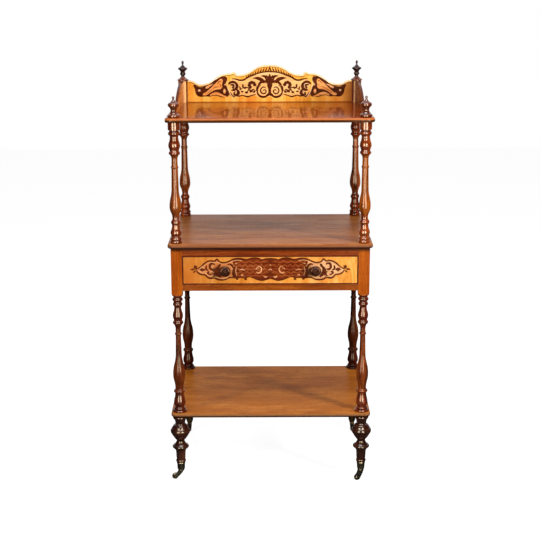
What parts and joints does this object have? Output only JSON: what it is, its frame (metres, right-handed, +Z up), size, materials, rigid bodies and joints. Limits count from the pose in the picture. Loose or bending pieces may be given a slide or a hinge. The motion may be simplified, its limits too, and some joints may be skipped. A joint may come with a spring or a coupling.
{
  "type": "etagere",
  "caption": "Three-tier walnut etagere on turned posts, with a drawer under the middle shelf, a marquetry gallery round the top shelf and turned feet on brass castors.",
  "frame": {"origin": "on the floor under the middle of the whole piece, knobs and feet included", "axes": "+Z up, -Y the drawer side (front), +X to the right of a person who looks at the front"},
  "size_m": [0.616, 0.4915, 1.2525],
  "materials": {
    "walnut_shelf": "french polished walnut",
    "walnut_turned": "french polished dark walnut",
    "walnut_case": "french polished walnut",
    "maple_marquetry": "polished figured maple with walnut marquetry",
    "dark_bead": "polished dark bead",
    "ebonised_knob": "polished ebonised wood",
    "pine_lining": "plain planed pine",
    "aged_brass": "aged brass"
  },
  "bodies": {
    "root": {"bottom_shelf": "walnut_shelf", "middle_shelf": "walnut_shelf", "top_shelf": "walnut_shelf", "gallery_back": "maple_marquetry", "gallery_dowels": "pine_lining", "drawer_stops": "pine_lining", "case_top_rail": "walnut_case", "case_bottom_rail": "walnut_case", "case_side_left": "walnut_case", "case_side_right": "walnut_case", "case_back": "walnut_case", "gallery_side_left": "walnut_case", "gallery_post_left": "walnut_case", "finial_front_left": "walnut_turned", "finial_rear_left": "walnut_turned", "drawer_runner_left": "pine_lining", "drawer_kicker_left": "pine_lining", "gallery_side_right": "walnut_case", "gallery_post_right": "walnut_case", "finial_front_right": "walnut_turned", "finial_rear_right": "walnut_turned", "drawer_runner_right": "pine_lining", "drawer_kicker_right": "pine_lining", "foot_front_left": "walnut_turned", "lower_post_front_left": "walnut_turned", "upper_post_front_left": "walnut_turned", "castor_cup_front_left": "aged_brass", "foot_front_right": "walnut_turned", "lower_post_front_right": "walnut_turned", "upper_post_front_right": "walnut_turned", "castor_cup_front_right": "aged_brass", "foot_rear_left": "walnut_turned", "lower_post_rear_left": "walnut_turned", "upper_post_rear_left": "walnut_turned", "castor_cup_rear_left": "aged_brass", "foot_rear_right": "walnut_turned", "lower_post_rear_right": "walnut_turned", "upper_post_rear_right": "walnut_turned", "castor_cup_rear_right": "aged_brass"},
    "drawer": {"drawer_front": "maple_marquetry", "drawer_cockbead": "dark_bead", "drawer_back": "pine_lining", "drawer_bottom": "pine_lining", "drawer_side_left": "pine_lining", "drawer_knob_left": "ebonised_knob", "drawer_side_right": "pine_lining", "drawer_knob_right": "ebonised_knob"},
    "castor_front_left": {"castor_horn_front_left": "aged_brass", "castor_axle_front_left": "aged_brass"},
    "wheel_front_left": {"castor_wheel_front_left": "aged_brass"},
    "castor_front_right": {"castor_horn_front_right": "aged_brass", "castor_axle_front_right": "aged_brass"},
    "wheel_front_right": {"castor_wheel_front_right": "aged_brass"},
    "castor_rear_left": {"castor_horn_rear_left": "aged_brass", "castor_axle_rear_left": "aged_brass"},
    "wheel_rear_left": {"castor_wheel_rear_left": "aged_brass"},
    "castor_rear_right": {"castor_horn_rear_right": "aged_brass", "castor_axle_rear_right": "aged_brass"},
    "wheel_rear_right": {"castor_wheel_rear_right": "aged_brass"}
  },
  "joints": [
    {"name": "drawer_slide", "type": "slide", "parent": "root", "child": "drawer", "axis": [0, -1, 0], "range_m": [0, 0.26]},
    {"name": "swivel_front_left", "type": "hinge", "parent": "root", "child": "castor_front_left", "pos_m": [-0.278, -0.20025, 0.033], "axis": [0, 0, 1], "continuous": true},
    {"name": "roll_front_left", "type": "hinge", "parent": "castor_front_left", "child": "wheel_front_left", "pos_m": [-0.297, -0.20025, 0.0095], "axis": [0, -1, 0], "continuous": true},
    {"name": "swivel_front_right", "type": "hinge", "parent": "root", "child": "castor_front_right", "pos_m": [0.278, -0.20025, 0.033], "axis": [0, 0, 1], "continuous": true},
    {"name": "roll_front_right", "type": "hinge", "parent": "castor_front_right", "child": "wheel_front_right", "pos_m": [0.26604, -0.21502, 0.0095], "axis": [0.7771, -0.6293, 0], "continuous": true},
    {"name": "swivel_rear_left", "type": "hinge", "parent": "root", "child": "castor_rear_left", "pos_m": [-0.278, 0.21575, 0.033], "axis": [0, 0, 1], "continuous": true},
    {"name": "roll_rear_left", "type": "hinge", "parent": "castor_rear_left", "child": "wheel_rear_left", "pos_m": [-0.27966, 0.19682, 0.0095], "axis": [0.9962, -0.0872, 0], "continuous": true},
    {"name": "swivel_rear_right", "type": "hinge", "parent": "root", "child": "castor_rear_right", "pos_m": [0.278, 0.21575, 0.033], "axis": [0, 0, 1], "continuous": true},
    {"name": "roll_rear_right", "type": "hinge", "parent": "castor_rear_right", "child": "wheel_rear_right", "pos_m": [0.27966, 0.19682, 0.0095], "axis": [0.9962, 0.0872, 0], "continuous": true}
  ]
}
